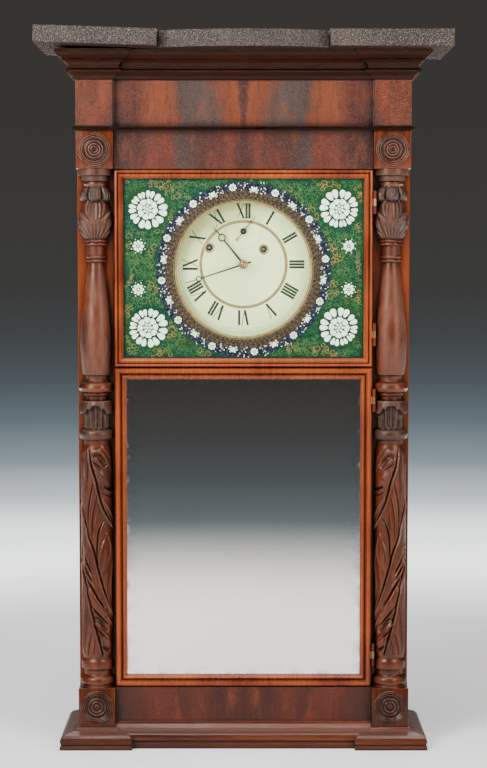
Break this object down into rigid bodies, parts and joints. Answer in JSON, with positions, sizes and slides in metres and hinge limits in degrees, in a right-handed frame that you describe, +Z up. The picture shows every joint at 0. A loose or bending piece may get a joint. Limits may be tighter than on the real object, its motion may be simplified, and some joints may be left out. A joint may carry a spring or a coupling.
{
  "type": "shelf clock",
  "caption": "Tall weight-driven shelf clock with carved half columns, stepped cornice, painted upper door, mirrored lower door, dial, movement and pendulum.",
  "frame": {"origin": "middle of the footprint of the top slabs, on the surface it stands on", "axes": "+Z up, the dial and doors face -Y, +X to the viewer's right"},
  "size_m": [0.5659, 0.188, 0.9949],
  "materials": {
    "mahogany": "glossy old shellac",
    "veneer": "glossy old shellac",
    "pine": "bare, aged",
    "slab_paint": "worn grey-brown paint",
    "painted_glass": "reverse painted, opaque",
    "mirror": "silvered",
    "dial_paint": "aged paint",
    "blued_steel": "blued",
    "brass": "aged",
    "steel": "plain",
    "iron": "rough",
    "cord": "braided"
  },
  "bodies": {
    "case": {"backboard": "pine", "side_board_left": "mahogany", "side_board_right": "mahogany", "floor_board": "pine", "lower_rail": "veneer", "division_rail": "pine", "top_board": "pine", "stile_left": "mahogany", "stile_right": "mahogany", "rosette_block_lower_left": "mahogany", "rosette_block_lower_right": "mahogany", "rosette_block_upper_left": "mahogany", "rosette_block_upper_right": "mahogany", "column_left": "mahogany", "column_right": "mahogany", "frieze_board": "veneer", "frieze_ledge": "mahogany", "cornice_moulding": "mahogany", "base_moulding": "mahogany", "top_slab_centre": "slab_paint", "top_slab_right": "slab_paint", "top_slab_left": "slab_paint", "dial_plate": "dial_paint", "front_plate": "brass", "back_plate": "brass", "bell": "brass", "time_cord_run": "cord", "strike_cord_run": "cord", "time_cord_fall": "cord", "strike_cord_fall": "cord"},
    "upper_door": {"upper_door_frame": "veneer", "painted_tablet": "painted_glass"},
    "lower_door": {"lower_door_frame": "veneer", "mirror_glass": "mirror", "mirror_back": "pine"},
    "escape": {"escape_wheel": "brass", "seconds_hand": "blued_steel"},
    "third": {"third_wheel": "brass"},
    "centre": {"centre_wheel": "brass"},
    "time_great": {"time_great_wheel": "brass"},
    "minute": {"cannon_pinion": "brass", "minute_hand": "blued_steel"},
    "minute_work": {"minute_wheel": "brass"},
    "hour": {"hour_wheel": "brass", "hour_hand": "blued_steel"},
    "fly_vane": {"fly": "brass"},
    "locking": {"locking_wheel": "brass"},
    "pins": {"pin_wheel": "brass"},
    "strike_great": {"strike_great_wheel": "brass"},
    "hammer_arm": {"hammer": "steel"},
    "lever": {"count_lever": "steel"},
    "escapement": {"verge": "steel"},
    "pendulum": {"pendulum_rod": "brass", "pendulum_bob": "brass"},
    "time_weight_body": {"time_weight": "iron"},
    "time_drum_body": {"time_drum": "steel"},
    "time_pulley_body": {"time_pulley": "brass"},
    "strike_weight_body": {"strike_weight": "iron"},
    "strike_drum_body": {"strike_drum": "steel"},
    "strike_pulley_body": {"strike_pulley": "brass"}
  },
  "joints": [
    {"name": "upper_door_swing", "type": "hinge", "parent": "case", "child": "upper_door", "pos_m": [0.1814, -0.0275, 0.668], "axis": [0, 0, 1], "range_deg": [0, 110]},
    {"name": "lower_door_swing", "type": "hinge", "parent": "case", "child": "lower_door", "pos_m": [0.1814, -0.0275, 0.3065], "axis": [0, 0, 1], "range_deg": [0, 110]},
    {"name": "seconds_turn", "type": "hinge", "parent": "case", "child": "escape", "pos_m": [0, 0, 0.7197], "axis": [0, 1, 0], "continuous": true},
    {"name": "third_turn", "type": "hinge", "parent": "case", "child": "third", "pos_m": [-0.00963, 0, 0.69747], "axis": [0, 1, 0], "continuous": true},
    {"name": "centre_turn", "type": "hinge", "parent": "case", "child": "centre", "pos_m": [0, 0, 0.6737], "axis": [0, 1, 0], "continuous": true},
    {"name": "great_turn", "type": "hinge", "parent": "case", "child": "time_great", "pos_m": [0.0281, 0, 0.6948], "axis": [0, 1, 0], "continuous": true},
    {"name": "minute_turn", "type": "hinge", "parent": "case", "child": "minute", "pos_m": [0, 0, 0.6737], "axis": [0, 1, 0], "continuous": true},
    {"name": "minute_wheel_turn", "type": "hinge", "parent": "case", "child": "minute_work", "pos_m": [0.01131, 0, 0.66239], "axis": [0, 1, 0], "continuous": true},
    {"name": "hour_turn", "type": "hinge", "parent": "case", "child": "hour", "pos_m": [0, 0, 0.6737], "axis": [0, 1, 0], "continuous": true},
    {"name": "fly_turn", "type": "hinge", "parent": "case", "child": "fly_vane", "pos_m": [-0.03409, 0, 0.76991], "axis": [0, 1, 0], "continuous": true},
    {"name": "locking_turn", "type": "hinge", "parent": "case", "child": "locking", "pos_m": [-0.02716, 0, 0.75088], "axis": [0, 1, 0], "continuous": true},
    {"name": "pin_wheel_turn", "type": "hinge", "parent": "case", "child": "pins", "pos_m": [-0.03836, 0, 0.73148], "axis": [0, 1, 0], "continuous": true},
    {"name": "strike_great_turn", "type": "hinge", "parent": "case", "child": "strike_great", "pos_m": [-0.0476, 0, 0.697], "axis": [0, 1, 0], "continuous": true},
    {"name": "hammer_swing", "type": "hinge", "parent": "case", "child": "hammer_arm", "pos_m": [-0.062, 0, 0.73565], "axis": [0, 1, 0], "range_deg": [0, 8]},
    {"name": "count_lever_lift", "type": "hinge", "parent": "case", "child": "lever", "pos_m": [-0.0577, 0, 0.762], "axis": [0, 1, 0], "range_deg": [-6, 0]},
    {"name": "verge_swing", "type": "hinge", "parent": "case", "child": "escapement", "pos_m": [0, 0, 0.74279], "axis": [0, 1, 0], "range_deg": [-3.5, 3.5]},
    {"name": "pendulum_swing", "type": "hinge", "parent": "case", "child": "pendulum", "pos_m": [0, 0, 0.74279], "axis": [0, 1, 0], "range_deg": [-3.5, 3.5]},
    {"name": "time_weight_lift", "type": "slide", "parent": "case", "child": "time_weight_body", "axis": [0, 0, 1], "range_m": [0, 0.66], "deforming": ["time_cord_fall"]},
    {"name": "time_drum_wind", "type": "hinge", "parent": "time_great", "child": "time_drum_body", "pos_m": [0.0281, 0, 0.6948], "axis": [0, 1, 0], "range_deg": [0, 6000]},
    {"name": "time_pulley_turn", "type": "hinge", "parent": "case", "child": "time_pulley_body", "pos_m": [0.166, 0, 0.93], "axis": [0, 1, 0], "range_deg": [-2800, 0]},
    {"name": "strike_weight_lift", "type": "slide", "parent": "case", "child": "strike_weight_body", "axis": [0, 0, 1], "range_m": [0, 0.66], "deforming": ["strike_cord_fall"]},
    {"name": "strike_drum_wind", "type": "hinge", "parent": "strike_great", "child": "strike_drum_body", "pos_m": [-0.0476, 0, 0.697], "axis": [0, 1, 0], "range_deg": [-6000, 0]},
    {"name": "strike_pulley_turn", "type": "hinge", "parent": "case", "child": "strike_pulley_body", "pos_m": [-0.166, 0, 0.93], "axis": [0, 1, 0], "range_deg": [0, 2800]}
  ],
  "couplings": [
    {"joint": "third_turn", "follows": "seconds_turn", "ratio": -0.13333},
    {"joint": "centre_turn", "follows": "seconds_turn", "ratio": 0.016667},
    {"joint": "great_turn", "follows": "seconds_turn", "ratio": -0.0013889},
    {"joint": "minute_wheel_turn", "follows": "minute_turn", "ratio": -0.33333},
    {"joint": "hour_turn", "follows": "minute_turn", "ratio": 0.083333},
    {"joint": "locking_turn", "follows": "fly_turn", "ratio": -0.125},
    {"joint": "pin_wheel_turn", "follows": "fly_turn", "ratio": 0.020833},
    {"joint": "strike_great_turn", "follows": "fly_turn", "ratio": -0.0016026},
    {"joint": "verge_swing", "follows": "pendulum_swing", "ratio": 1},
    {"joint": "time_drum_wind", "follows": "time_weight_lift", "rad_per_m": 157.48},
    {"joint": "time_pulley_turn", "follows": "time_weight_lift", "rad_per_m": -71.429},
    {"joint": "strike_drum_wind", "follows": "strike_weight_lift", "rad_per_m": -157.48},
    {"joint": "strike_pulley_turn", "follows": "strike_weight_lift", "rad_per_m": 71.429}
  ]
}
